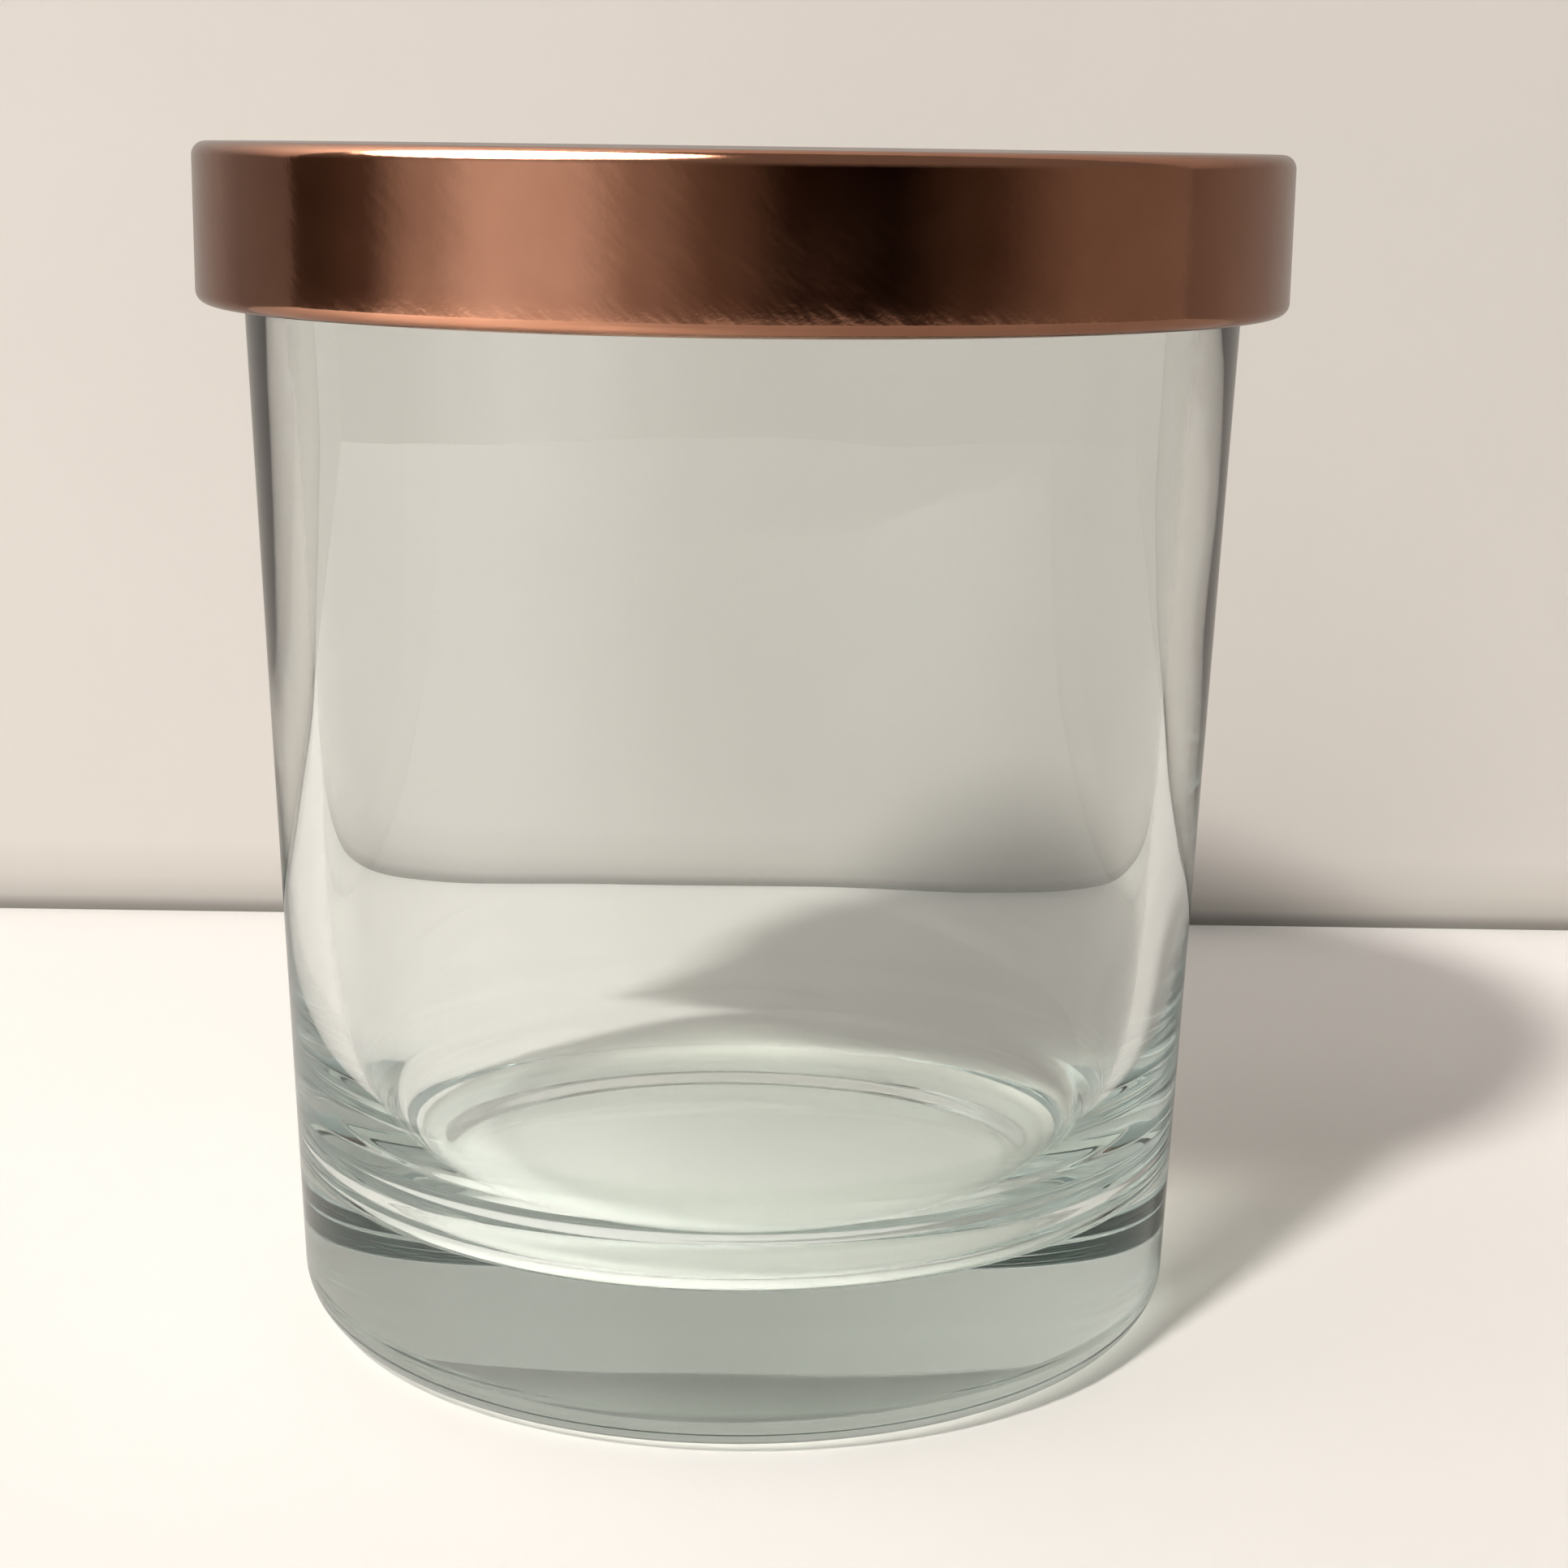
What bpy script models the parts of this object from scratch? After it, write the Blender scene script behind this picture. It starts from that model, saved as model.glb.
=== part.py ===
"""Empty candle jar: a tapered, heavy-based glass tumbler with a lift-off copper-finished metal lid.

Metres, +Z up, origin at the centre of the foot ring, on the surface that the jar stands on.
Every piece is turned round the Z axis. A closed section makes the thick pieces, and a single line
with Solidify makes the pieces that are pressed from sheet.
"""
import math

import bpy

# ---------------------------------------------------------------- driving dimensions
MOUTH_RADIUS = 0.0400
FOOT_RADIUS = 0.0365
GLASS_HEIGHT = 0.0920
LID_RADIUS = 0.0434
LID_TOP = 0.0958
LID_BOTTOM = 0.0835

# Glass
RIM_WALL = 0.0020
LOWER_WALL = 0.0035
WALL_BLEND = 0.0140
STEP_WALL = 0.0070
STEP_HEIGHT = 0.0153
SWELL_BLEND = 0.0048
FLOOR_HEIGHT = 0.0115
FLOOR_FILLET = 0.0029
HEEL_ROUND = 0.0040
FOOT_RING_WIDTH = 0.0030
PUSH_UP = 0.0008
PUSH_UP_EDGE = 0.0050

# Lid
SHELL_SHEET = 0.00045
LINER_SHEET = 0.00040
TOP_ROUND = 0.0011
HEM_ROUND = 0.0013
HEM_LIP = 0.0006
GAP = 0.0003

# Seal and the plug that carries it
FLANGE_THICKNESS = 0.0008
FLANGE_RADIUS = 0.0405
PLUG_RADIUS = 0.0346
PLUG_DEPTH = 0.0055
BEAD_RADIUS = 0.0007
SLEEVE_WALL = 0.0011
FIN_THICKNESS = 0.0004
FIN_COUNT = 2
FIN_PITCH = 0.0013
FIN_DROP = 0.0015
FIN_RISE = 0.0003
BEND_ROUND = 0.0005

# Resolution
SEGMENTS = 64
WALL_RINGS = 6
SWELL_RINGS = 5
SWELL_STEP = 0.0035
MERGE_DISTANCE = 0.00001
SHARP_ANGLE = math.radians(32)

COLLECTION_NAME = "empty_candle_jar"


# ---------------------------------------------------------------- helpers
def clear_scene():
    for item in list(bpy.data.objects):
        bpy.data.objects.remove(item, do_unlink=True)


def make_collection(name):
    collection = bpy.data.collections.new(name)
    bpy.context.scene.collection.children.link(collection)
    return collection


def arc(centre_x, centre_z, radius, start, end, steps):
    """Points on an arc, angles in degrees from +X towards +Z, both ends included."""
    points = []
    for step in range(steps + 1):
        angle = math.radians(start + (end - start) * step / steps)
        points.append((centre_x + radius * math.cos(angle), centre_z + radius * math.sin(angle)))
    return points


def material(name, colour, roughness, metallic=0.0, transmission=0.0, ior=1.5):
    made = bpy.data.materials.new(name)
    made.use_nodes = True
    shader = made.node_tree.nodes["Principled BSDF"]
    shader.inputs["Base Color"].default_value = (*colour, 1.0)
    shader.inputs["Roughness"].default_value = roughness
    shader.inputs["Metallic"].default_value = metallic
    shader.inputs["Transmission Weight"].default_value = transmission
    shader.inputs["IOR"].default_value = ior
    return made


def turned(name, profile, closed, collection, surface):
    """A piece made by turning a section, given as (radius, height) points, round the Z axis."""
    edges = [(index, index + 1) for index in range(len(profile) - 1)]
    if closed:
        edges.append((len(profile) - 1, 0))
    mesh = bpy.data.meshes.new(name)
    mesh.from_pydata([(radius, 0.0, height) for radius, height in profile], edges, [])
    piece = bpy.data.objects.new(name, mesh)
    collection.objects.link(piece)
    mesh.materials.append(surface)

    screw = piece.modifiers.new("turn", "SCREW")
    screw.axis = "Z"
    screw.steps = SEGMENTS
    screw.render_steps = SEGMENTS
    screw.use_merge_vertices = True
    screw.merge_threshold = MERGE_DISTANCE
    screw.use_smooth_shade = True
    return piece


def thicken(piece, sheet):
    """Give a turned line the thickness of the sheet it is pressed from, behind its outer face."""
    solidify = piece.modifiers.new("sheet", "SOLIDIFY")
    solidify.thickness = sheet
    solidify.offset = -1.0
    solidify.use_even_offset = True


def smooth_by_angle(piece):
    """Turn the live modifiers into the piece's own mesh and shade it smooth with sharp corners kept."""
    depsgraph = bpy.context.evaluated_depsgraph_get()
    mesh = bpy.data.meshes.new_from_object(piece.evaluated_get(depsgraph))
    piece.modifiers.clear()
    piece.data = mesh
    mesh.shade_smooth()
    mesh.set_sharp_from_angle(angle=SHARP_ANGLE)


# ---------------------------------------------------------------- the glass
def outer_radius(height):
    return FOOT_RADIUS + (MOUTH_RADIUS - FOOT_RADIUS) * height / GLASS_HEIGHT


def wall(height):
    """Wall thickness: thin at the rim, even down the side, and swelling inwards above the step."""
    thinning = (LOWER_WALL - RIM_WALL) * math.exp((height - GLASS_HEIGHT) / WALL_BLEND)
    swelling = (STEP_WALL - LOWER_WALL) * math.exp((STEP_HEIGHT - height) / SWELL_BLEND)
    return LOWER_WALL - thinning + swelling


def inner_radius(height):
    return outer_radius(height) - wall(height)


def push_up_height(radius, edge):
    """Shallow dome under the base, zero at the foot ring."""
    share = min(1.0, (edge - radius) / PUSH_UP_EDGE)
    return PUSH_UP * math.sin(share * math.pi / 2)


def glass_section():
    rim_round = RIM_WALL / 2
    rim_centre = outer_radius(GLASS_HEIGHT) - rim_round
    fillet_centre = inner_radius(STEP_HEIGHT) - FLOOR_FILLET
    section = [(0.0, FLOOR_HEIGHT)]
    section += arc(fillet_centre, FLOOR_HEIGHT + FLOOR_FILLET, FLOOR_FILLET, -90, 0, 3)
    for ring in range(SWELL_RINGS):
        height = STEP_HEIGHT + SWELL_STEP * ring
        section.append((inner_radius(height), height))
    swell_top = height
    for ring in range(1, WALL_RINGS):
        share = math.sin(ring / WALL_RINGS * math.pi / 2)
        height = swell_top + (GLASS_HEIGHT - rim_round - swell_top) * share
        section.append((inner_radius(height), height))
    section += arc(rim_centre, GLASS_HEIGHT - rim_round, rim_round, 180, 0, 6)

    heel_centre = outer_radius(HEEL_ROUND) - HEEL_ROUND
    section += arc(heel_centre, HEEL_ROUND, HEEL_ROUND, 0, -90, 5)
    ring_edge = heel_centre - FOOT_RING_WIDTH
    for step in range(4):
        radius = ring_edge - PUSH_UP_EDGE * step / 3
        section.append((radius, push_up_height(radius, ring_edge)))
    section.append((0.0, PUSH_UP))
    return section


def make_glass(collection):
    glass = material("clear_glass", (0.93, 0.96, 0.95), 0.03, transmission=1.0, ior=1.5)
    piece = turned("glass_jar", glass_section(), False, collection, glass)
    smooth_by_angle(piece)
    return piece


# ---------------------------------------------------------------- the lid
# Heights that the pieces of the lid share, counted up from the rim of the glass.
FLANGE_BOTTOM = GLASS_HEIGHT + GAP
FLANGE_TOP = FLANGE_BOTTOM + FLANGE_THICKNESS
PLATE_TOP = FLANGE_TOP + GAP + LINER_SHEET
PLUG_FLOOR_TOP = GLASS_HEIGHT - PLUG_DEPTH + LINER_SHEET
BEAD_TOP = PLUG_FLOOR_TOP + 2 * BEAD_RADIUS


def shell_line():
    """Outer face of the shell, from the middle of the top to the end of the rolled hem."""
    hem_centre = LID_BOTTOM + HEM_ROUND
    line = [(0.0, LID_TOP)]
    line += arc(LID_RADIUS - TOP_ROUND, LID_TOP - TOP_ROUND, TOP_ROUND, 90, 0, 4)
    line += arc(LID_RADIUS - HEM_ROUND, hem_centre, HEM_ROUND, 0, -180, 8)
    line.append((LID_RADIUS - 2 * HEM_ROUND, hem_centre + HEM_LIP))
    return line


def liner_line():
    """Upper face of the liner: floor of the plug, retaining bead, plug wall, rim plate and skirt."""
    wall_inside = PLUG_RADIUS - LINER_SHEET
    skirt_outside = LID_RADIUS - SHELL_SHEET - GAP
    skirt_bottom = LID_BOTTOM + HEM_ROUND + HEM_LIP + GAP
    line = [(0.0, PLUG_FLOOR_TOP)]
    line += arc(wall_inside, PLUG_FLOOR_TOP + BEAD_RADIUS, BEAD_RADIUS, -90, 60, 5)
    line.append((wall_inside, BEAD_TOP))
    line += arc(wall_inside + BEND_ROUND, PLATE_TOP - BEND_ROUND, BEND_ROUND, 180, 90, 2)
    line += arc(skirt_outside - BEND_ROUND, PLATE_TOP - BEND_ROUND, BEND_ROUND, 90, 0, 2)
    line.append((skirt_outside, skirt_bottom))
    return line


def seal_section():
    """Section of the seal: a flange on the rim, and a sleeve with two upturned fins."""
    inside = PLUG_RADIUS + GAP
    sleeve = inside + SLEEVE_WALL
    bottom = BEAD_TOP + LINER_SHEET
    section = [(inside, FLANGE_TOP)]
    section += [(FLANGE_RADIUS, FLANGE_TOP), (FLANGE_RADIUS, FLANGE_BOTTOM)]
    section.append((sleeve, FLANGE_BOTTOM))
    for fin in range(FIN_COUNT):
        top = FLANGE_BOTTOM - FIN_DROP - FIN_PITCH * fin
        tip = inner_radius(top) - GAP
        section.append((sleeve, top))
        section.append((tip, top + FIN_RISE))
        section.append((tip, top + FIN_RISE - FIN_THICKNESS / 2))
        section.append((sleeve, top - FIN_THICKNESS))
    section += [(sleeve, bottom), (inside, bottom)]
    return section


def make_lid(collection):
    copper = material("satin_copper_finish", (0.62, 0.36, 0.25), 0.34, metallic=1.0)
    plain_steel = material("plain_steel", (0.58, 0.57, 0.55), 0.38, metallic=1.0)
    silicone = material("clear_silicone", (0.82, 0.83, 0.80), 0.45)

    shell = turned("lid_shell", shell_line(), False, collection, copper)
    thicken(shell, SHELL_SHEET)
    liner = turned("lid_liner", liner_line(), False, collection, plain_steel)
    thicken(liner, LINER_SHEET)
    seal = turned("lid_seal_ring", seal_section(), True, collection, silicone)
    for piece in (shell, liner, seal):
        smooth_by_angle(piece)
    return shell, liner, seal


def pivot(name, height, parent=None):
    """An empty on the jar's axis that carries the pieces of one moving body."""
    empty = bpy.data.objects.new(name, None)
    empty.empty_display_size = LID_RADIUS
    empty.location = (0.0, 0.0, height)
    bpy.context.scene.collection.objects.link(empty)
    attach(empty, parent)
    return empty


def attach(child, parent):
    """Parent a piece or a pivot and leave it where it stands."""
    if parent is None:
        return
    bpy.context.view_layer.update()
    place = child.matrix_world.copy()
    child.parent = parent
    child.matrix_world = place


def main():
    clear_scene()
    collection = make_collection(COLLECTION_NAME)
    make_glass(collection)
    shell, liner, seal = make_lid(collection)
    lift = pivot("lid_lift_pivot", GLASS_HEIGHT)
    turn = pivot("lid_turn_pivot", GLASS_HEIGHT, lift)
    attach(seal, lift)
    attach(shell, turn)
    attach(liner, turn)


main()
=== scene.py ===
# %% [markdown]
# # An empty candle jar with a copper-finished lid
#
# The jar is a glass tumbler with a heavy base, closed by a pressed metal lid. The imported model
# gives the plain solids, their sizes and the joints. This file makes the fine surfaces that stand
# in for them, one piece at a time, and then the finishes, the table, the light and the camera.

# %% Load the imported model
import math

import bmesh
import bpy
from mathutils import Euler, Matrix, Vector


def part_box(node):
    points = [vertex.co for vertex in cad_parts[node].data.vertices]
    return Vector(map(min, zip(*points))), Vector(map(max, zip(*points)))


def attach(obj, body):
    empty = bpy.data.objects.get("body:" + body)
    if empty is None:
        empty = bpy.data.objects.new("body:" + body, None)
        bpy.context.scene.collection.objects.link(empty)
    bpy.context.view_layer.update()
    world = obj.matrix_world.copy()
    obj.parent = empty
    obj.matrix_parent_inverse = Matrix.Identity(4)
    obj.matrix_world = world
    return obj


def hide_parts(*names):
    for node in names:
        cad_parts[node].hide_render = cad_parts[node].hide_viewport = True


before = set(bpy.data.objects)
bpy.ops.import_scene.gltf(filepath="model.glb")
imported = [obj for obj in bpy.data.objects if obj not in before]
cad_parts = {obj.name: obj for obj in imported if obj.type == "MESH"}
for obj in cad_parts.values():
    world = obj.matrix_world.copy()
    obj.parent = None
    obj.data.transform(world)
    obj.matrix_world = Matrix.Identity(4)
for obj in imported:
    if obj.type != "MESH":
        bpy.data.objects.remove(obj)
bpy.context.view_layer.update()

# %% [markdown]
# ## Reading the sizes off the frame
#
# Every solid's lowest and highest corner can be asked for. The sizes of the glass and of the lid
# come from there, so that the fine pieces fit the solids they replace.

# %% Sizes
MM = 0.001

_, glass_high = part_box("glass_jar")
cap_low, cap_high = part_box("lid_shell")
pan_low, pan_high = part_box("lid_liner")
seal_low, seal_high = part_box("lid_seal_ring")

GLASS_HEIGHT = glass_high[2]
MOUTH_RADIUS = 40.0 * MM
FOOT_RADIUS = 36.5 * MM
CAP_RADIUS = cap_high[0]
CAP_TOP = cap_high[2]
CAP_BOTTOM = cap_low[2]
print("glass height", round(GLASS_HEIGHT, 4), "lid radius", round(CAP_RADIUS, 4))

# %% [markdown]
# ## Helpers for modelling by hand
#
# An operator acts on whatever is selected, so each step starts from nothing selected and picks its
# faces or edges by where they are. `pick` runs in edit mode and takes a test on a face's middle and
# normal, or on an edge's two ends.

# %% Selecting in code
SIDES = 256
TOUCHING = 0.001 * MM


def start_fresh():
    """Leave edit mode and deselect everything."""
    if bpy.context.object is not None and bpy.context.object.mode != "OBJECT":
        bpy.ops.object.mode_set(mode="OBJECT")
    bpy.ops.object.select_all(action="DESELECT")


def pick_faces(test):
    """In edit mode, select the faces whose middle and normal pass the test."""
    mesh = bpy.context.object.data
    bpy.ops.mesh.select_mode(type="FACE")
    bpy.ops.mesh.select_all(action="DESELECT")
    work = bmesh.from_edit_mesh(mesh)
    for face in work.faces:
        face.select_set(test(face.calc_center_median(), face.normal))
    work.select_flush_mode()
    bmesh.update_edit_mesh(mesh)


def pick_rings(test):
    """In edit mode, select the level rings of edges whose radius and height pass the test."""
    mesh = bpy.context.object.data
    bpy.ops.mesh.select_mode(type="EDGE")
    bpy.ops.mesh.select_all(action="DESELECT")
    work = bmesh.from_edit_mesh(mesh)
    for edge in work.edges:
        first, second = (vert.co for vert in edge.verts)
        level = abs(first.z - second.z) < TOUCHING
        same = abs(first.xy.length - second.xy.length) < TOUCHING
        edge.select_set(level and same and test(first.xy.length, first.z))
    bmesh.update_edit_mesh(mesh)


def bring_to(old, new):
    """Bring the selected ring from one (radius, height) to the next."""
    scale = new[0] / old[0]
    bpy.ops.transform.resize(value=(scale, scale, 1.0), center_override=(0.0, 0.0, old[1]))
    bpy.ops.transform.translate(value=(0.0, 0.0, new[1] - old[1]))


def extrude_to(old, new):
    """Extrude the selected disc and bring its rim from one (radius, height) to the next."""
    bpy.ops.mesh.extrude_region_move()
    bring_to(old, new)


def arc(centre, radius, start, end, steps):
    """Points (radius, height) on an arc, angles in degrees from outwards towards up."""
    angles = [math.radians(start + (end - start) * step / steps) for step in range(steps + 1)]
    return [(centre[0] + radius * math.cos(a), centre[1] + radius * math.sin(a)) for a in angles]


def finish_mesh(piece, angle=40.0):
    """Merge doubles, point all faces outwards and shade smooth, with real corners kept sharp."""
    bpy.ops.mesh.select_all(action="SELECT")
    bpy.ops.mesh.remove_doubles(threshold=TOUCHING / 2)
    bpy.ops.mesh.normals_make_consistent(inside=False)
    bpy.ops.object.mode_set(mode="OBJECT")
    bpy.ops.object.shade_smooth_by_angle(angle=math.radians(angle))
    print(piece.name, "faces:", len(piece.data.polygons))


# %% [markdown]
# ## The glass
#
# A pressed tumbler is a tapered block with a well pushed into it. It could be turned from a drawn
# section, but here it is made as the glassmaker makes it: a cone without its tip, the top face
# inset to leave the wall, and the well sunk from there ring by ring. The wall is thin at the rim,
# even over most of its height, and swells inwards above the base. The swelling ends in a small step
# round the floor, the mark of the plunger's end. The rim is fire-polished, so it is fully round.

# %% Glass block and well
RIM_WALL = 2.0 * MM
LOWER_WALL = 3.5 * MM
WALL_BLEND = 14.0 * MM
STEP_WALL = 7.0 * MM
STEP_HEIGHT = 15.3 * MM
SWELL_BLEND = 4.8 * MM
FLOOR_HEIGHT = 11.5 * MM
FLOOR_FILLET = 2.9 * MM
FILLET_STEPS = 12
WELL_RINGS = 80

taper = (MOUTH_RADIUS - FOOT_RADIUS) / GLASS_HEIGHT


def outer_radius(height):
    return FOOT_RADIUS + taper * height


def inner_radius(height):
    thinning = (LOWER_WALL - RIM_WALL) * math.exp((height - GLASS_HEIGHT) / WALL_BLEND)
    swelling = (STEP_WALL - LOWER_WALL) * math.exp((STEP_HEIGHT - height) / SWELL_BLEND)
    return outer_radius(height) - LOWER_WALL + thinning - swelling


start_fresh()
bpy.ops.mesh.primitive_cone_add(vertices=SIDES, radius1=FOOT_RADIUS, radius2=MOUTH_RADIUS,
                                depth=GLASS_HEIGHT, location=(0.0, 0.0, GLASS_HEIGHT / 2))
jar = bpy.context.object
jar.name = "jar_glass"
bpy.ops.object.transform_apply(location=True, rotation=True, scale=True)
bpy.ops.object.mode_set(mode="EDIT")

pick_faces(lambda middle, normal: normal.z > 0.9)
bpy.ops.mesh.inset(thickness=RIM_WALL)
ring = (MOUTH_RADIUS - RIM_WALL, GLASS_HEIGHT)
for step in range(1, WELL_RINGS + 1):
    height = GLASS_HEIGHT + (STEP_HEIGHT - GLASS_HEIGHT) * step / WELL_RINGS
    below = (inner_radius(height), height)
    extrude_to(ring, below)
    ring = below
fillet_middle = (ring[0] - FLOOR_FILLET, FLOOR_HEIGHT + FLOOR_FILLET)
for below in arc(fillet_middle, FLOOR_FILLET, 0, -90, FILLET_STEPS):
    extrude_to(ring, below)
    ring = below
print("well floor at", round(ring[1], 4), "fillet starts at radius", round(ring[0], 4))

# %% [markdown]
# The floor of the well isn't quite flat: the plunger leaves it a little dished. A few more rings
# carry that slow curve to the middle. Close rings near the fillet also keep the shading clean.

# %% Well floor
FLOOR_DISH = 0.35 * MM
FLOOR_RINGS = 12

floor_edge = ring[0]
for step in range(1, FLOOR_RINGS):
    radius = floor_edge * (1 - step / FLOOR_RINGS)
    dish = FLOOR_DISH * (1 - (radius / floor_edge) ** 2)
    below = (radius, FLOOR_HEIGHT - dish)
    extrude_to(ring, below)
    ring = below

# %% [markdown]
# ## The foot
#
# Under the base the real jar stands on a narrow flat ring, and the middle is pushed up a little so
# that it can't rock. The same ring-by-ring extrusion goes up into the base. The heel and the rim
# are then rounded with Bevel, which cuts a clean arc along a ring of edges.

# %% Foot ring, push-up and heel
HEEL_ROUND = 4.0 * MM
HEEL_SEGMENTS = 16
RIM_ROUND = 0.98 * RIM_WALL / 2
RIM_SEGMENTS = 8
FOOT_RING_WIDTH = 3.0 * MM
PUSH_UP = 0.8 * MM
PUSH_UP_EDGE = 5.0 * MM
PUSH_UP_RINGS = 14

heel_middle = outer_radius(HEEL_ROUND) - HEEL_ROUND
ring_edge = heel_middle - FOOT_RING_WIDTH
pick_faces(lambda middle, normal: normal.z < -0.9)
bpy.ops.mesh.inset(thickness=FOOT_RADIUS - ring_edge)
ring = (ring_edge, 0.0)
for step in range(1, PUSH_UP_RINGS + 1):
    share = step / PUSH_UP_RINGS
    inward = (ring_edge - PUSH_UP_EDGE * share, PUSH_UP * (1 - math.cos(share * math.pi)) / 2)
    extrude_to(ring, inward)
    ring = inward

pick_rings(lambda radius, height: height < 0.1 * MM and radius > ring_edge + 1.0 * MM)
bpy.ops.mesh.bevel(offset=HEEL_ROUND, offset_type="OFFSET", segments=HEEL_SEGMENTS,
                   affect="EDGES", profile=0.5)
pick_rings(lambda radius, height: height > GLASS_HEIGHT - 0.1 * MM)
bpy.ops.mesh.bevel(offset=RIM_ROUND, offset_type="OFFSET", segments=RIM_SEGMENTS,
                   affect="EDGES", profile=0.5)
finish_mesh(jar)
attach(jar, "jar")
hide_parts("glass_jar")

# %% [markdown]
# ## The lid cap
#
# The cap is one disc of sheet steel, drawn down into a shallow cup whose edge is rolled inwards.
# It is modelled as its outer face only: a disc, its rim extruded over the rounded shoulder, down
# the skirt and round the hem. Solidify then gives it the thickness of the sheet, towards the
# inside.

# %% Cap
CAP_SHEET = 0.45 * MM
SHOULDER = 1.1 * MM
HEM = 1.0 * MM
HEM_LIP = 0.6 * MM
TOP_RINGS = 10
SHOULDER_STEPS = 14
SKIRT_RINGS = 6
HEM_STEPS = 28


def extrude_rim(old, new):
    """Extrude the selected loose rim and bring it from one (radius, height) to the next."""
    bpy.ops.mesh.extrude_edges_move()
    bring_to(old, new)


def turned_sheet(name, line, sheet):
    """A pressed piece: a small disc at the first point, and its rim extruded along the line."""
    start_fresh()
    bpy.ops.mesh.primitive_circle_add(vertices=SIDES, radius=line[0][0], fill_type="TRIFAN",
                                      location=(0.0, 0.0, line[0][1]))
    piece = bpy.context.object
    piece.name = name
    bpy.ops.object.transform_apply(location=True, rotation=True, scale=True)
    bpy.ops.object.mode_set(mode="EDIT")
    pick_rings(lambda radius, height: radius > line[0][0] * 0.9)
    for old, new in zip(line, line[1:]):
        extrude_rim(old, new)
    bpy.ops.mesh.select_all(action="SELECT")
    bpy.ops.mesh.normals_make_consistent(inside=False)
    bpy.ops.object.mode_set(mode="OBJECT")
    solidify = piece.modifiers.new("sheet", "SOLIDIFY")
    solidify.thickness = sheet
    solidify.offset = -1.0
    solidify.use_even_offset = True
    bpy.ops.object.modifier_apply(modifier="sheet")
    bpy.ops.object.mode_set(mode="EDIT")
    finish_mesh(piece)
    return piece


shoulder_start = CAP_RADIUS - SHOULDER
cap_line = [(shoulder_start * step / TOP_RINGS, CAP_TOP) for step in range(1, TOP_RINGS)]
cap_line += arc((shoulder_start, CAP_TOP - SHOULDER), SHOULDER, 90, 0, SHOULDER_STEPS)
skirt_top = CAP_TOP - SHOULDER
skirt_bottom = CAP_BOTTOM + HEM
for step in range(1, SKIRT_RINGS):
    cap_line.append((CAP_RADIUS, skirt_top + (skirt_bottom - skirt_top) * step / SKIRT_RINGS))
cap_line += arc((CAP_RADIUS - HEM, skirt_bottom), HEM, 0, -180, HEM_STEPS)
cap_line.append((CAP_RADIUS - 2 * HEM, skirt_bottom + HEM_LIP))

cap = turned_sheet("lid_cap", cap_line, CAP_SHEET)
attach(cap, "lid")
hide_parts("lid_shell")

# %% [markdown]
# ## The inner pan
#
# Inside the cap lies a second pressed sheet: a plug that goes down into the mouth of the jar, with
# a bead at its bottom edge that keeps the seal on, a plate over the rim, and a short skirt that the
# hem of the cap traps. It is made in the same way, along its own line.

# %% Inner pan
PAN_SHEET = 0.40 * MM
PLAY = 0.3 * MM
PLUG_RADIUS = 34.6 * MM
BEAD = 0.7 * MM
BEAD_STEPS = 12
BEND = 0.5 * MM
BEND_STEPS = 6

pan_floor = pan_low[2] + PAN_SHEET
pan_top = pan_high[2]
plug_inside = PLUG_RADIUS - PAN_SHEET
pan_skirt = pan_high[0]
pan_line = [(plug_inside * step / TOP_RINGS, pan_floor) for step in range(1, TOP_RINGS)]
pan_line += arc((plug_inside, pan_floor + BEAD), BEAD, -90, 60, BEAD_STEPS)
pan_line.append((plug_inside, pan_floor + 2 * BEAD))
pan_line += arc((plug_inside + BEND, pan_top - BEND), BEND, 180, 90, BEND_STEPS)
pan_line += arc((pan_skirt - BEND, pan_top - BEND), BEND, 90, 0, BEND_STEPS)
pan_line.append((pan_skirt, skirt_bottom + HEM_LIP + PLAY))
pan = turned_sheet("lid_inner_pan", pan_line, PAN_SHEET)
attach(pan, "lid")
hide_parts("lid_liner")

# %% [markdown]
# ## The seal
#
# The gasket is moulded silicone: a flange that lies on the rim of the glass, and a sleeve with two
# thin fins that press on the inside of the mouth. Its section is drawn once, as a flat outline
# grown point by point, and Spin carries it round the jar's axis.

# %% Seal
FLANGE = 0.8 * MM
SLEEVE_WALL = 1.1 * MM
FIN = 0.4 * MM
FIN_COUNT = 2
FIN_PITCH = 1.3 * MM
FIN_DROP = 1.5 * MM
FIN_RISE = 0.3 * MM
SEAL_SOFTENING = 0.08 * MM
SOFTENING_SEGMENTS = 2
SOFTENED_CORNERS = math.radians(30)

seal_inside = PLUG_RADIUS + PLAY
sleeve = seal_inside + SLEEVE_WALL
flange_bottom = seal_high[2] - FLANGE
outline = [(seal_inside, seal_high[2]), (seal_high[0], seal_high[2])]
outline += [(seal_high[0], flange_bottom), (sleeve, flange_bottom)]
for fin in range(FIN_COUNT):
    root = flange_bottom - FIN_DROP - FIN_PITCH * fin
    tip = inner_radius(root) - PLAY
    outline += [(sleeve, root), (tip, root + FIN_RISE), (tip, root + FIN_RISE - FIN / 2)]
    outline.append((sleeve, root - FIN))
outline += [(sleeve, seal_low[2]), (seal_inside, seal_low[2])]

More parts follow.
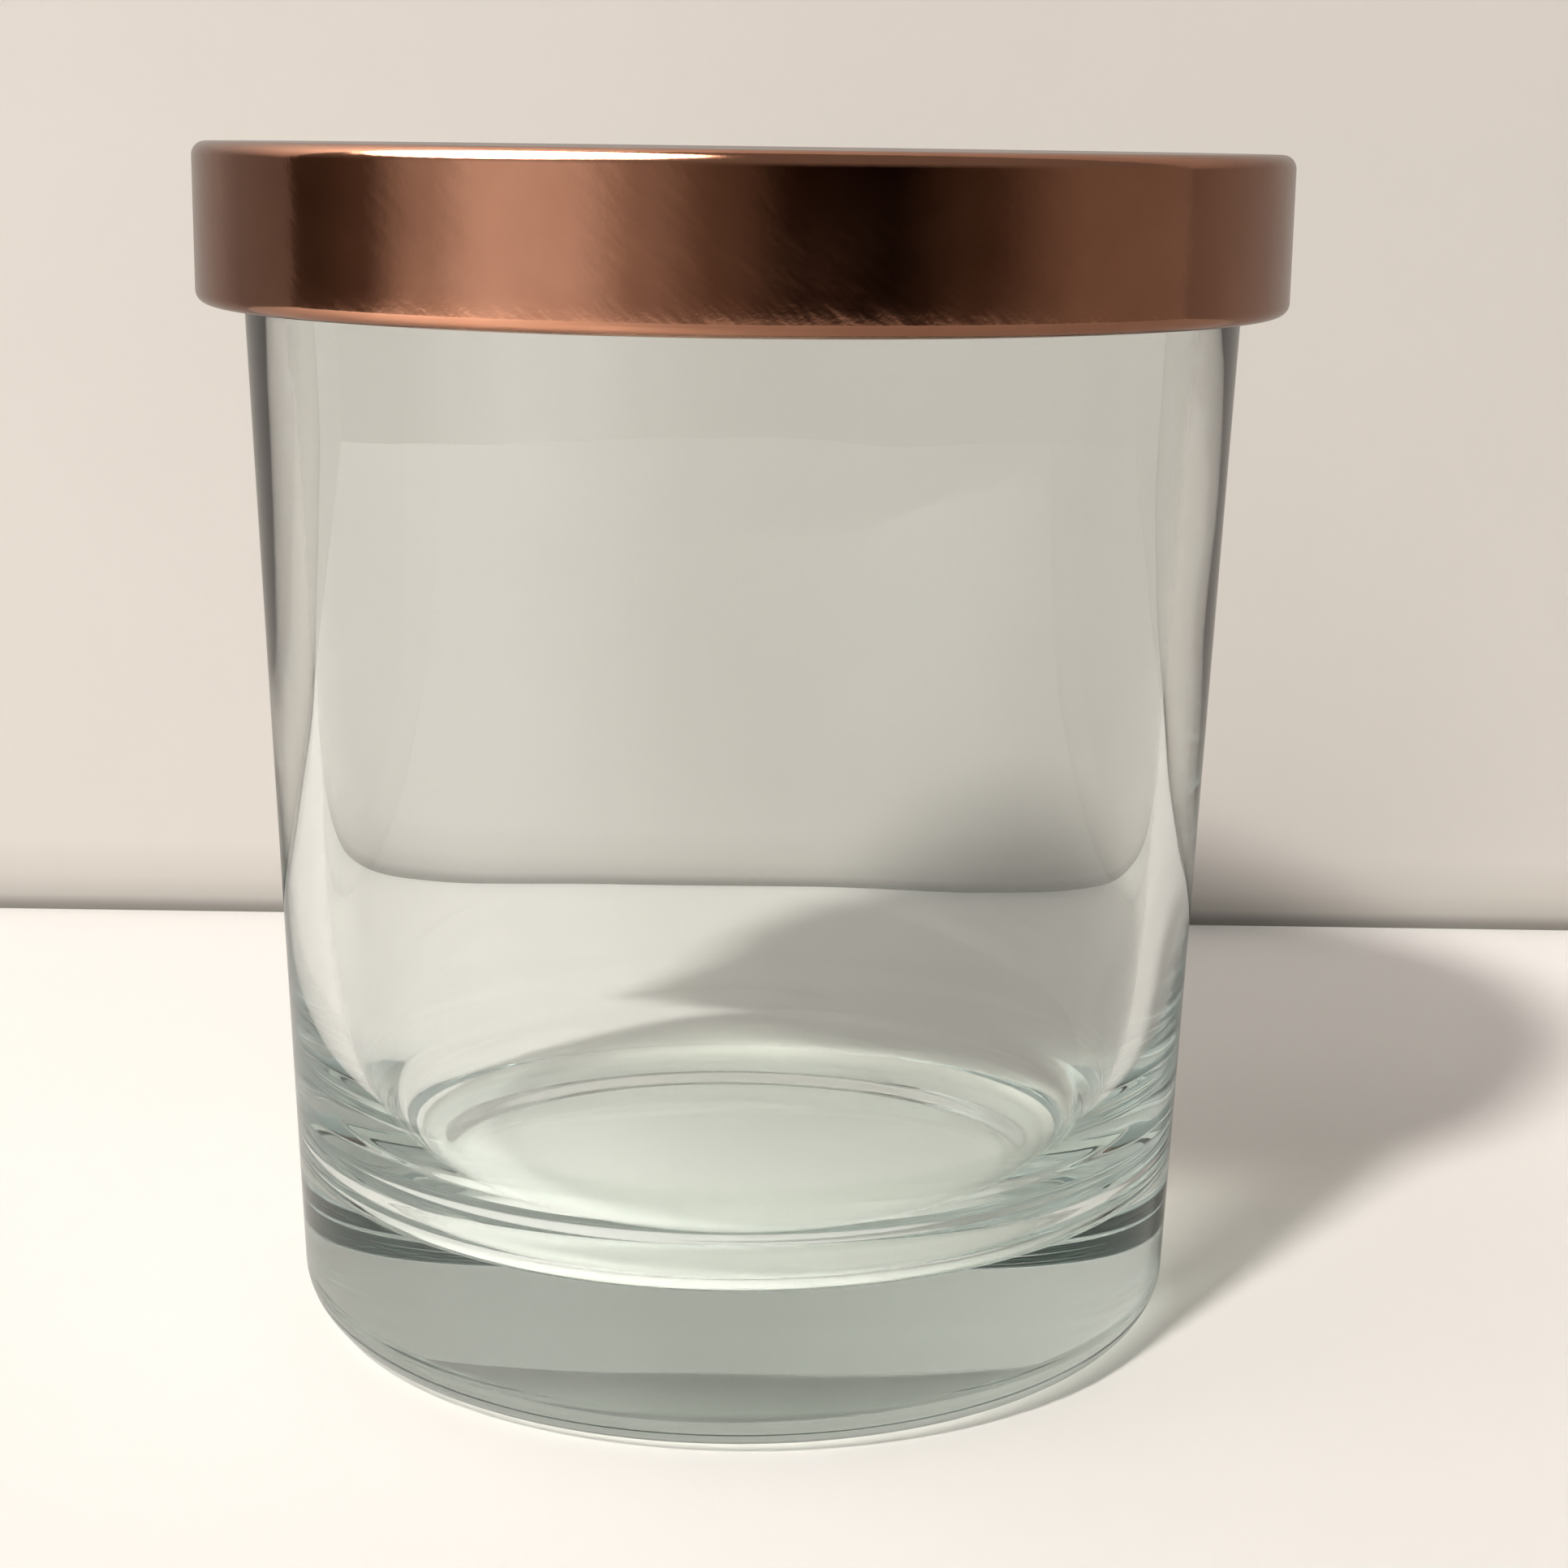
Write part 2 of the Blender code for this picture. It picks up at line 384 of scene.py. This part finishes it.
start_fresh()
bpy.ops.mesh.primitive_plane_add(size=1.0 * MM, location=(outline[0][0], 0.0, outline[0][1]))
seal = bpy.context.object
seal.name = "lid_gasket"
bpy.ops.object.transform_apply(location=True, rotation=True, scale=True)
bpy.ops.object.mode_set(mode="EDIT")
bpy.ops.mesh.select_mode(type="VERT")
bpy.ops.mesh.select_all(action="SELECT")
bpy.ops.mesh.merge(type="CENTER")
for old, new in zip(outline, outline[1:] + outline[:1]):
    step = Vector((new[0] - old[0], 0.0, new[1] - old[1]))
    bpy.ops.mesh.extrude_region_move(TRANSFORM_OT_translate={"value": step})
bpy.ops.mesh.select_all(action="SELECT")
bpy.ops.mesh.remove_doubles(threshold=TOUCHING)
bpy.ops.mesh.spin(steps=SIDES, angle=math.tau, center=(0.0, 0.0, 0.0), axis=(0.0, 0.0, 1.0))
bpy.ops.mesh.select_all(action="SELECT")
bpy.ops.mesh.remove_doubles(threshold=TOUCHING)
bpy.ops.mesh.normals_make_consistent(inside=False)
bpy.ops.object.mode_set(mode="OBJECT")
soften = seal.modifiers.new("soften", "BEVEL")
soften.width = SEAL_SOFTENING
soften.segments = SOFTENING_SEGMENTS
soften.limit_method = "ANGLE"
soften.angle_limit = SOFTENED_CORNERS
bpy.ops.object.modifier_apply(modifier="soften")
bpy.ops.object.mode_set(mode="EDIT")
finish_mesh(seal)
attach(seal, "seal")
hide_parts("lid_seal_ring")

# %% [markdown]
# ## Finishes
#
# `Finish` holds one material and short ways to add its nodes and links, so that each finish below
# reads as a list of what it is made of.

# %% Material helper


class Finish:
    """A material under construction: add nodes by type, and link sockets."""

    def __init__(self, name):
        self.material = bpy.data.materials.new(name)
        self.material.use_nodes = True
        self.tree = self.material.node_tree
        self.shader = self.tree.nodes["Principled BSDF"]
        self.output = self.tree.nodes["Material Output"]

    def add(self, kind, **settings):
        node = self.tree.nodes.new(kind)
        for key, value in settings.items():
            if hasattr(node, key):
                setattr(node, key, value)
            else:
                node.inputs[key.replace("_", " ")].default_value = value
        return node

    def link(self, source, target):
        self.tree.links.new(source, target)

    def object_coordinates(self, scale=(1.0, 1.0, 1.0), turn=(0.0, 0.0, 0.0)):
        where = self.add("ShaderNodeTexCoord")
        mapping = self.add("ShaderNodeMapping", vector_type="TEXTURE")
        mapping.inputs["Scale"].default_value = scale
        mapping.inputs["Rotation"].default_value = turn
        self.link(where.outputs["Object"], mapping.inputs["Vector"])
        return mapping.outputs["Vector"]

    def noise(self, vector, scale, detail=3.0, roughness=0.55, distortion=0.0):
        node = self.add("ShaderNodeTexNoise")
        node.inputs["Scale"].default_value = scale
        node.inputs["Detail"].default_value = detail
        node.inputs["Roughness"].default_value = roughness
        node.inputs["Distortion"].default_value = distortion
        self.link(vector, node.inputs["Vector"])
        return node.outputs["Fac"]

    def spread(self, value, low, high, from_low=0.0, from_high=1.0):
        node = self.add("ShaderNodeMapRange")
        node.inputs["From Min"].default_value = from_low
        node.inputs["From Max"].default_value = from_high
        node.inputs["To Min"].default_value = low
        node.inputs["To Max"].default_value = high
        self.link(value, node.inputs["Value"])
        return node.outputs["Result"]

    def ramp(self, value, stops):
        node = self.add("ShaderNodeValToRGB")
        band = node.color_ramp
        band.elements[0].position = stops[0][0]
        band.elements[0].color = (*stops[0][1], 1.0)
        band.elements[1].position = stops[-1][0]
        band.elements[1].color = (*stops[-1][1], 1.0)
        for position, colour in stops[1:-1]:
            band.elements.new(position).color = (*colour, 1.0)
        self.link(value, node.inputs["Fac"])
        return node.outputs["Color"]

    def bump(self, height, distance, strength=1.0, below=None):
        node = self.add("ShaderNodeBump")
        node.inputs["Strength"].default_value = strength
        node.inputs["Distance"].default_value = distance
        self.link(height, node.inputs["Height"])
        if below is not None:
            self.link(below, node.inputs["Normal"])
        return node.outputs["Normal"]

    def give(self, piece):
        piece.data.materials.clear()
        piece.data.materials.append(self.material)


# %% [markdown]
# ### Clear glass
#
# Soda glass bends light by an index of about 1.51 and is faintly grey-green where it is thick. The
# faint colour comes from absorption inside the volume, so the base is deeper than the wall. A
# pressed surface is never quite true, so a slow, shallow bump lets lines seen through it wander.
# Light that casts shadows goes through as through a tinted film, darker where it meets the glass at
# a slant, because a slanting wall throws the light aside.

# %% Glass finish
GLASS_COLOUR = (0.890, 0.905, 0.895, 1.0)
GLASS_INDEX = 1.51
TINT_COLOUR = (0.46, 0.58, 0.56, 1.0)
TINT_DENSITY = 15.0
SHADOW_FILM = [(0.0, (0.84, 0.84, 0.83)), (0.45, (0.78, 0.78, 0.76)), (0.85, (0.32, 0.33, 0.31))]
RIPPLE_SCALE = 38.0
RIPPLE_DEPTH = 0.15 * MM

glass = Finish("clear_glass")
glass.shader.inputs["Base Color"].default_value = GLASS_COLOUR
glass.shader.inputs["Transmission Weight"].default_value = 1.0
glass.shader.inputs["IOR"].default_value = GLASS_INDEX
glass.shader.inputs["Roughness"].default_value = 0.0
place = glass.object_coordinates()
ripple = glass.noise(place, RIPPLE_SCALE, detail=1.0)
glass.link(glass.bump(ripple, RIPPLE_DEPTH), glass.shader.inputs["Normal"])
tint = glass.add("ShaderNodeVolumeAbsorption")
tint.inputs["Color"].default_value = TINT_COLOUR
tint.inputs["Density"].default_value = TINT_DENSITY
glass.link(tint.outputs["Volume"], glass.output.inputs["Volume"])
film = glass.add("ShaderNodeBsdfTransparent")
slope = glass.add("ShaderNodeLayerWeight")
slope.inputs["Blend"].default_value = 0.5
glass.link(glass.ramp(slope.outputs["Facing"], SHADOW_FILM), film.inputs["Color"])
path = glass.add("ShaderNodeLightPath")
either = glass.add("ShaderNodeMixShader")
glass.link(path.outputs["Is Shadow Ray"], either.inputs["Fac"])
glass.link(glass.shader.outputs["BSDF"], either.inputs[1])
glass.link(film.outputs["BSDF"], either.inputs[2])
glass.link(either.outputs["Shader"], glass.output.inputs["Surface"])
glass.give(jar)

# %% [markdown]
# ### Satin copper
#
# The lid is steel with a copper-coloured satin coat. The reflection is soft but still shows light
# and dark bands. A very fine grain scatters it, and faint clouds and slanting streaks in the
# polish make the bright part look brushed by hand. A texture mapping turns first and stretches
# after, so the streaks lie along the turned axis.

# %% Copper finish
COPPER = [(0.30, (0.335, 0.155, 0.095)), (0.70, (0.385, 0.187, 0.118))]
COPPER_ROUGHNESS = (0.095, 0.135)
STREAK_SLANT = math.radians(38.0)
STREAK_STRETCH = 2.5
STREAK_SCALE = 130.0
STREAK_DEPTH = 0.035 * MM
CLOUD_SCALE = 120.0
GRAIN_SCALE = 3200.0
GRAIN_DEPTH = 0.003 * MM

copper = Finish("satin_copper_finish")
copper.shader.inputs["Metallic"].default_value = 1.0
place = copper.object_coordinates()
clouds = copper.noise(place, CLOUD_SCALE, detail=3.0, distortion=0.4)
slanted = copper.object_coordinates((1.0, 1.0, 1 / STREAK_STRETCH), (0.0, STREAK_SLANT, 0.0))
streaks = copper.noise(slanted, STREAK_SCALE, detail=3.0, roughness=0.6)
grain = copper.noise(place, GRAIN_SCALE, detail=2.0)
copper.link(copper.ramp(clouds, COPPER), copper.shader.inputs["Base Color"])
copper.link(copper.spread(clouds, *COPPER_ROUGHNESS, 0.3, 0.7), copper.shader.inputs["Roughness"])
soft = copper.bump(streaks, STREAK_DEPTH)
copper.link(copper.bump(grain, GRAIN_DEPTH, 1.0, soft), copper.shader.inputs["Normal"])
copper.give(cap)

# %% [markdown]
# ### Plain steel and silicone
#
# The inner pan is bare tinned steel with a fine rolled grain, and the gasket is milky clear
# silicone.

# %% Pan and seal finishes
STEEL = [(0.3, (0.50, 0.49, 0.47)), (0.7, (0.66, 0.65, 0.63))]
STEEL_ROUGHNESS = (0.26, 0.42)
ROLLED_STRETCH = 12.0
ROLLED_SCALE = 220.0
ROLLED_DEPTH = 0.01 * MM
SILICONE = [(0.3, (0.78, 0.79, 0.76)), (0.7, (0.88, 0.88, 0.86))]
SILICONE_ROUGHNESS = (0.38, 0.52)
SILICONE_GLOW = 0.35
SILICONE_GLOW_DEPTH = (0.6 * MM, 0.6 * MM, 0.55 * MM)
MILK_SCALE = 400.0

steel = Finish("plain_steel")
steel.shader.inputs["Metallic"].default_value = 1.0
place = steel.object_coordinates((1.0, 1 / ROLLED_STRETCH, 1.0))
rolled = steel.noise(place, ROLLED_SCALE, detail=4.0)
steel.link(steel.ramp(rolled, STEEL), steel.shader.inputs["Base Color"])
steel.link(steel.spread(rolled, *STEEL_ROUGHNESS, 0.3, 0.7), steel.shader.inputs["Roughness"])
steel.link(steel.bump(rolled, ROLLED_DEPTH, 0.5), steel.shader.inputs["Normal"])
steel.give(pan)

silicone = Finish("clear_silicone")
place = silicone.object_coordinates()
milk = silicone.noise(place, MILK_SCALE, detail=3.0)
silicone.link(silicone.ramp(milk, SILICONE), silicone.shader.inputs["Base Color"])
silicone.link(silicone.spread(milk, *SILICONE_ROUGHNESS), silicone.shader.inputs["Roughness"])
silicone.shader.inputs["Subsurface Weight"].default_value = SILICONE_GLOW
silicone.shader.inputs["Subsurface Radius"].default_value = SILICONE_GLOW_DEPTH
silicone.shader.inputs["Subsurface Scale"].default_value = 1.0
silicone.give(seal)

# %% [markdown]
# ## Table, wall and light
#
# A pale table top and a cream wall close behind it. The wall shows from its front only, so that
# the jar can be looked at from behind as well. Just above the table the wall carries painted shade,
# where little light reaches. Where the lid mirrors them, the table and the low part of the wall get
# painted reflection shade: they are dimmed in reflections only, the wall more so on the left, as if
# other things stood there.

# %% Table and wall
WALL_DISTANCE = 117.6 * MM
WALL_TURN = -0.019
SHADE_HEIGHT = 9.0 * MM
# Painted reflection shade: how far the wall and table are dimmed where they are seen in
# reflections.
WALL_PAINTED_REFLECTION_SHADE = [(-500, 0.14), (-250, 0.22), (-150, 0.42), (-90, 0.50), (0, 0.52), (60, 0.56),
                 (300, 0.50), (500, 0.45)]
WALL_REFLECTION_SHADE_FADE = (130.0 * MM, 250.0 * MM)
TABLE_PAINTED_REFLECTION_SHADE = (0.55, 0.55, 0.55, 1.0)
TABLE_DROP = -0.1 * MM
STAGE_REACH = 0.75
STAGE_SIDES = 128
WALL_HEIGHT = 0.80
TABLE_PAINT = ((0.775, 0.752, 0.728), (0.805, 0.782, 0.758), 0.45)
WALL_PAINT = ((0.590, 0.556, 0.522), (0.622, 0.588, 0.554), 0.6)
PAINTED_FOOT_SHADE = [(0.0, (0.28, 0.28, 0.27)), (0.08, (0.36, 0.36, 0.35)), (0.22, (0.70, 0.70, 0.69)),
              (0.50, (0.88, 0.88, 0.87)), (1.0, (1.0, 1.0, 1.0))]
PATCH_SCALE = 6.0
PEEL_SCALE = 900.0
PEEL_DEPTH = 0.01 * MM


def pale(name, low, high, roughness):
    """Painted surface: slow, faint changes of colour and a fine orange-peel bump."""
    paint = Finish(name)
    where = paint.object_coordinates()
    patches = paint.noise(where, PATCH_SCALE, detail=4.0)
    paint.link(paint.ramp(patches, [(0.3, low), (0.7, high)]), paint.shader.inputs["Base Color"])
    paint.shader.inputs["Roughness"].default_value = roughness
    peel = paint.noise(where, PEEL_SCALE, detail=2.0)
    paint.link(paint.bump(peel, PEEL_DEPTH, 0.3), paint.shader.inputs["Normal"])
    return paint


def mirrored(paint):
    """1 where the surface is seen in a reflection, and 0 elsewhere: the mask for painted reflection
    shade.
    """
    kind = paint.add("ShaderNodeLightPath")
    both = paint.add("ShaderNodeMath", operation="MULTIPLY")
    paint.link(kind.outputs["Is Glossy Ray"], both.inputs[0])
    paint.link(kind.outputs["Is Reflection Ray"], both.inputs[1])
    return both.outputs[0]


def darken(paint, shade, share):
    """Multiply the paint's colour by a shade, a colour or a socket, as far as the share says."""
    mix = paint.add("ShaderNodeMix", data_type="RGBA", blend_type="MULTIPLY")
    for name, value in (("Factor", share), ("B", shade)):
        if isinstance(value, (float, tuple)):
            mix.inputs[name].default_value = value
        else:
            paint.link(value, mix.inputs[name])
    paint.link(paint.shader.inputs["Base Color"].links[0].from_socket, mix.inputs["A"])
    paint.link(mix.outputs["Result"], paint.shader.inputs["Base Color"])


start_fresh()
bpy.ops.mesh.primitive_circle_add(vertices=STAGE_SIDES, radius=STAGE_REACH, fill_type="NGON",
                                  location=(0.0, 0.0, TABLE_DROP))
table = bpy.context.object
table.name = "table_top"
bpy.ops.object.transform_apply(location=True, rotation=True, scale=True)
table_paint = pale("table_paint", *TABLE_PAINT)
# Painted reflection shade: the table is dimmed where it is seen in reflections.
darken(table_paint, TABLE_PAINTED_REFLECTION_SHADE, mirrored(table_paint))
table_paint.give(table)

start_fresh()
bpy.ops.mesh.primitive_plane_add(size=1.0, rotation=(math.pi / 2, 0.0, WALL_TURN),
                                 location=(0.0, WALL_DISTANCE, WALL_HEIGHT / 2))
wall = bpy.context.object
wall.name = "wall"
wall.scale = (2 * STAGE_REACH, WALL_HEIGHT, 1.0)
bpy.ops.object.transform_apply(location=True, rotation=True, scale=True)
wall_paint = pale("wall_paint", *WALL_PAINT)
place = wall_paint.add("ShaderNodeTexCoord")
upright = wall_paint.add("ShaderNodeSeparateXYZ")
wall_paint.link(place.outputs["Object"], upright.inputs[0])
# Painted shade: the wall's colour is darkened just above the table, down to a dark line at its
# foot.
above_table = wall_paint.spread(upright.outputs["Z"], 0.0, 1.0, 0.0, SHADE_HEIGHT)
darken(wall_paint, wall_paint.ramp(above_table, PAINTED_FOOT_SHADE), 1.0)
# Painted reflection shade: in reflections only, the low part of the wall is dimmed, more so on the
# left.
reflection_shade_height_fade = wall_paint.spread(upright.outputs["Z"], 1.0, 0.0, *WALL_REFLECTION_SHADE_FADE)
reflection_shade_share = wall_paint.add("ShaderNodeMath", operation="MULTIPLY")
wall_paint.link(mirrored(wall_paint), reflection_shade_share.inputs[0])
wall_paint.link(reflection_shade_height_fade, reflection_shade_share.inputs[1])
first, last = WALL_PAINTED_REFLECTION_SHADE[0][0], WALL_PAINTED_REFLECTION_SHADE[-1][0]
along = wall_paint.spread(upright.outputs["X"], 0.0, 1.0, first * MM, last * MM)
painted_reflection_shade = wall_paint.ramp(along, [
    ((place_x - first) / (last - first), (level, level, level)) for place_x, level in WALL_PAINTED_REFLECTION_SHADE
])
darken(wall_paint, painted_reflection_shade, reflection_shade_share.outputs[0])
sides = wall_paint.add("ShaderNodeNewGeometry")
clear = wall_paint.add("ShaderNodeBsdfTransparent")
front = wall_paint.add("ShaderNodeMixShader")
wall_paint.link(sides.outputs["Backfacing"], front.inputs["Fac"])
wall_paint.link(wall_paint.shader.outputs["BSDF"], front.inputs[1])
wall_paint.link(clear.outputs["BSDF"], front.inputs[2])
wall_paint.link(front.outputs["Shader"], wall_paint.output.inputs["Surface"])
wall_paint.give(wall)

# %% [markdown]
# The room is a set of soft light and dark bands round the horizon, a soft ceiling and a high
# window on the left. The metal shows them as the bands on its skirt and the bright patch on its
# shoulder. The painted table and wall get only a small share of this light, so that the key
# lamp's shadow stays deep. Seen straight or through the glass, the room is one pale backdrop.

# %% Room light
BANDS = [
    (-180, 0.45, 0.95), (-135, 0.40, 0.95), (-112, 0.12, 0.75), (-96, 0.07, 0.70),
    (-82, 0.13, 0.75), (-66, 0.72, 0.95), (-51, 1.42, 1.00), (-36, 1.25, 0.98),
    (-20, 0.50, 0.90), (-5, 0.20, 0.80), (11, 0.020, 0.50), (29, 0.008, 0.50),
    (45, 0.08, 0.70), (74, 0.36, 0.85), (111, 0.40, 0.90), (150, 0.45, 0.95), (180, 0.45, 0.95),
]
CEILING = 0.33
CEILING_START = 0.10
CEILING_FULL = 0.55
WINDOW_AZIMUTH = -64.0
WINDOW_HEIGHT = 52.0
WINDOW_INNER = 16.0
WINDOW_OUTER = 31.0
WINDOW_LIGHT = 2.4
WINDOW_SHINE = 55.0
ROOM_ON_PAINT = 0.20
BACKDROP = (0.80, 0.78, 0.74, 1.0)


def direction(azimuth, height):
    """The way towards something in the room, from degrees round and degrees up."""
    around, up = math.radians(azimuth), math.radians(height)
    return Vector((math.sin(around) * math.cos(up), -math.cos(around) * math.cos(up), math.sin(up)))


world = bpy.data.worlds.new("soft_room")
bpy.context.scene.world = world
world.use_nodes = True
nodes = world.node_tree.nodes
links = world.node_tree.links
nodes.clear()


def warm(level, green=0.97, blue=0.93):
    """A slightly warm light colour of the given level."""
    return (level, level * green, level * blue, 1.0)


def world_math(operation, first, second):
    node = nodes.new("ShaderNodeMath")
    node.operation = operation
    for socket, value in zip(node.inputs, (first, second)):
        if isinstance(value, (int, float)):
            socket.default_value = value
        else:
            links.new(value, socket)
    return node.outputs[0]


where = nodes.new("ShaderNodeTexCoord")
split = nodes.new("ShaderNodeSeparateXYZ")
links.new(where.outputs["Generated"], split.inputs[0])
minus_y = world_math("MULTIPLY", split.outputs["Y"], -1.0)
turn = world_math("ARCTAN2", split.outputs["X"], minus_y)
around = world_math("ADD", world_math("DIVIDE", turn, math.tau), 0.5)
bands = nodes.new("ShaderNodeValToRGB")
bands.color_ramp.interpolation = "EASE"
for index, (degrees, level, warmth) in enumerate(BANDS):
    position = degrees / 360 + 0.5
    if index < 2:
        stop = bands.color_ramp.elements[index]
        stop.position = position
    else:
        stop = bands.color_ramp.elements.new(position)
    stop.color = warm(level, warmth, warmth ** 2)
links.new(around, bands.inputs["Fac"])
rise = nodes.new("ShaderNodeMapRange")
rise.inputs["From Min"].default_value = CEILING_START
rise.inputs["From Max"].default_value = CEILING_FULL
links.new(split.outputs["Z"], rise.inputs["Value"])
overhead = nodes.new("ShaderNodeMix")
overhead.data_type = "RGBA"
links.new(rise.outputs["Result"], overhead.inputs["Factor"])
links.new(bands.outputs["Color"], overhead.inputs["A"])
overhead.inputs["B"].default_value = warm(CEILING, blue=0.91)
facing = nodes.new("ShaderNodeVectorMath")
facing.operation = "DOT_PRODUCT"
links.new(where.outputs["Generated"], facing.inputs[0])
facing.inputs[1].default_value = direction(WINDOW_AZIMUTH, WINDOW_HEIGHT)
glow = nodes.new("ShaderNodeMapRange")
glow.interpolation_type = "SMOOTHSTEP"
glow.inputs["From Min"].default_value = math.cos(math.radians(WINDOW_OUTER))
glow.inputs["From Max"].default_value = math.cos(math.radians(WINDOW_INNER))
links.new(facing.outputs["Value"], glow.inputs["Value"])
lit = nodes.new("ShaderNodeMix")
lit.data_type = "RGBA"
links.new(glow.outputs["Result"], lit.inputs["Factor"])
links.new(overhead.outputs["Result"], lit.inputs["A"])
seen = nodes.new("ShaderNodeLightPath")
pane = nodes.new("ShaderNodeMix")
pane.data_type = "RGBA"
links.new(seen.outputs["Is Glossy Ray"], pane.inputs["Factor"])
pane.inputs["A"].default_value = warm(WINDOW_LIGHT)
pane.inputs["B"].default_value = warm(WINDOW_SHINE)
links.new(pane.outputs["Result"], lit.inputs["B"])
room = nodes.new("ShaderNodeBackground")
links.new(lit.outputs["Result"], room.inputs["Color"])
from_paint = world_math("GREATER_THAN", seen.outputs["Diffuse Depth"], 0.5)
paint_share = world_math("MULTIPLY", from_paint, ROOM_ON_PAINT - 1)
links.new(world_math("ADD", paint_share, 1.0), room.inputs["Strength"])
backdrop = nodes.new("ShaderNodeBackground")
backdrop.inputs["Color"].default_value = BACKDROP
through = world_math("MAXIMUM", seen.outputs["Is Camera Ray"], seen.outputs["Is Transmission Ray"])
straight = world_math("MULTIPLY", through, world_math("SUBTRACT", 1.0, from_paint))
either = nodes.new("ShaderNodeMixShader")
links.new(straight, either.inputs["Fac"])
links.new(room.outputs[0], either.inputs[1])
links.new(backdrop.outputs[0], either.inputs[2])
result = nodes.new("ShaderNodeOutputWorld")
links.new(either.outputs[0], result.inputs["Surface"])

# %% [markdown]
# The key light is a small lamp up on the left, in front of the jar. It throws the shadow of the
# lid on the table to the right, and sharpens the bright line on the lid's shoulder.

# %% Key light
KEY_AZIMUTH = -31.0
KEY_HEIGHT = 46.0
KEY_REACH = 2.50
KEY_SIZE = 0.24
KEY_POWER = 66.0
KEY_COLOUR = (1.0, 0.965, 0.92)

aim = Vector((0.0, 0.0, GLASS_HEIGHT / 2))
towards = direction(KEY_AZIMUTH, KEY_HEIGHT)
key_data = bpy.data.lights.new("key_lamp", "AREA")
key_data.shape = "DISK"
key_data.size = KEY_SIZE
key_data.energy = KEY_POWER
key_data.color = KEY_COLOUR
key = bpy.data.objects.new("key_lamp", key_data)
bpy.context.scene.collection.objects.link(key)
key.location = aim + towards * KEY_REACH
key.rotation_euler = towards.to_track_quat("Z", "Y").to_euler()

# %% [markdown]
# ## Camera
#
# A long lens close to the jar, a little above the lid, looking slightly down.

# %% Camera
CAMERA_DISTANCE = 236.0 * MM
CAMERA_HEIGHT = 96.5 * MM
CAMERA_PITCH = 0.2197
CAMERA_TURN = 0.0159
CAMERA_ROLL = 0.0135
LENS = 66.32

camera_data = bpy.data.cameras.new("camera")
camera_data.sensor_width = 36.0
camera_data.lens = LENS
camera_data.clip_start = 0.01
camera = bpy.data.objects.new("camera", camera_data)
bpy.context.scene.collection.objects.link(camera)
camera.location = (0.0, -CAMERA_DISTANCE, CAMERA_HEIGHT)
level = Euler((math.pi / 2 - CAMERA_PITCH, 0.0, -CAMERA_TURN), "XYZ").to_matrix()
roll = Euler((0.0, 0.0, CAMERA_ROLL), "XYZ").to_matrix()
camera.rotation_euler = (level @ roll).to_euler()
bpy.context.scene.camera = camera
bpy.context.scene.view_settings.view_transform = "Standard"

# %% [markdown]
# Light rattles round inside the thick base many times before it comes out. Cut short, those paths
# turn black, so the scene lets light bounce often enough.

# %% Light bounces
GLASS_BOUNCES = 32

paths = bpy.context.scene.cycles
paths.max_bounces = GLASS_BOUNCES
paths.glossy_bounces = GLASS_BOUNCES
paths.transmission_bounces = GLASS_BOUNCES
